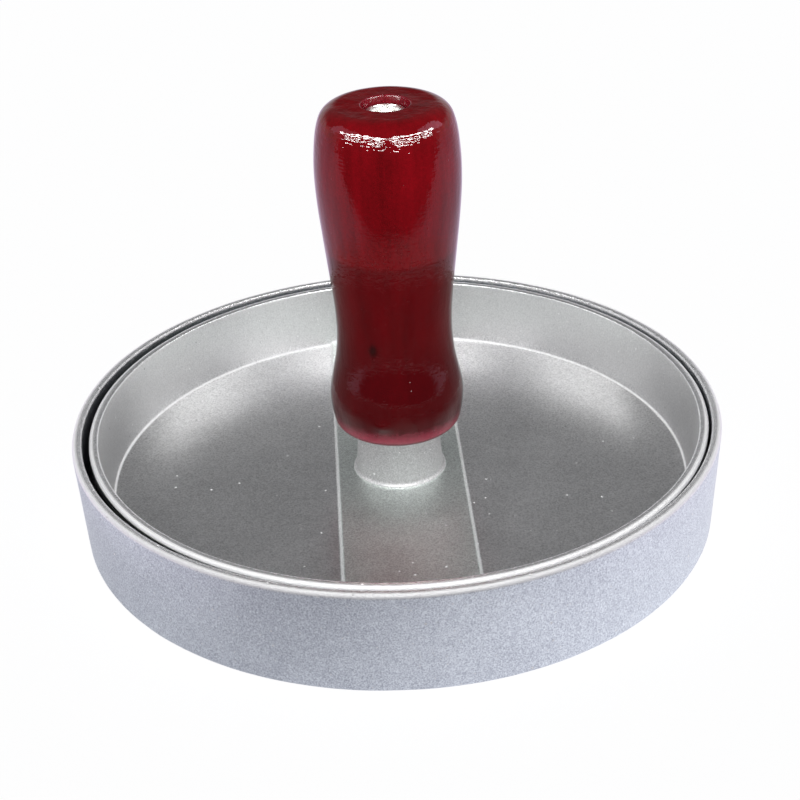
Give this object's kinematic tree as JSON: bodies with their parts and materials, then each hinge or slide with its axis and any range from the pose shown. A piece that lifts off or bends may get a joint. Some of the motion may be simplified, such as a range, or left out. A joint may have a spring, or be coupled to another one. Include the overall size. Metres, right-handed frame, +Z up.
{
  "type": "patty press",
  "caption": "Hand press for burger patties: a shallow cast tray, and a cast cup-shaped press plate on a turned wooden handle that drops into it.",
  "frame": {"origin": "centre of the mould's round foot, on the table", "axes": "+Z up, out of the mould along the handle; the raised band across the press plate runs along Y"},
  "size_m": [0.12, 0.12, 0.0793],
  "materials": {
    "mould_aluminium": "fine sand-blasted casting, satin",
    "press_aluminium": "fine sand-blasted casting, satin",
    "varnished_wood": "dark red stain under gloss varnish",
    "screw_steel": "bright zinc plate",
    "washer_steel": "bright zinc plate"
  },
  "bodies": {
    "mould": {"mould_base": "mould_aluminium"},
    "washer": {"flat_washer": "washer_steel"},
    "press": {"press_plate": "press_aluminium", "wood_handle": "varnished_wood", "handle_screw": "screw_steel"}
  },
  "joints": [
    {"name": "press_lift", "type": "slide", "parent": "mould", "child": "washer", "axis": [0, 0, 1], "range_m": [0, 0.06]},
    {"name": "press_turn", "type": "hinge", "parent": "washer", "child": "press", "pos_m": [0.00035, 0, 0], "axis": [0, 0, 1], "continuous": true}
  ]
}
